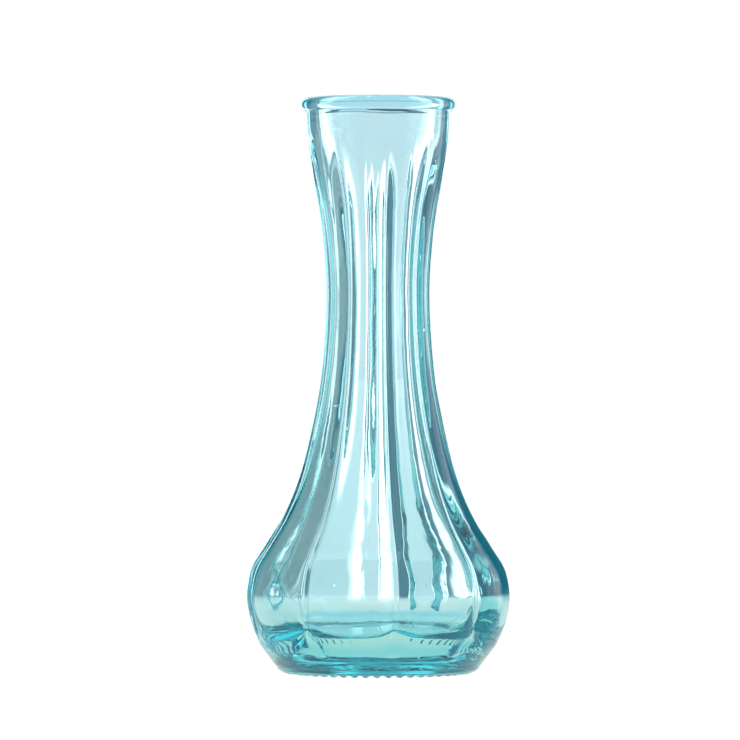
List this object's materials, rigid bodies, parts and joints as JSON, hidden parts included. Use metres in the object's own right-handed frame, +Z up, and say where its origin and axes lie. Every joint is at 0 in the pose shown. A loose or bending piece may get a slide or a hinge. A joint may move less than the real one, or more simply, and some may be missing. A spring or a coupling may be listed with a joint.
{
  "type": "glass bud vase",
  "caption": "Pale blue glass bud vase: lobed bulb, fluted neck flaring to a rolled rim, for one or a few cut stems.",
  "frame": {"origin": "centre of the foot at the plane the vase stands on", "axes": "+Z up along the vase's axis to the mouth; +X and +Y run through the middles of lobes"},
  "size_m": [0.0738, 0.0738, 0.16],
  "materials": {
    "aqua_glass": "gloss"
  },
  "bodies": {
    "root": {"vase_body": "aqua_glass"}
  },
  "joints": []
}
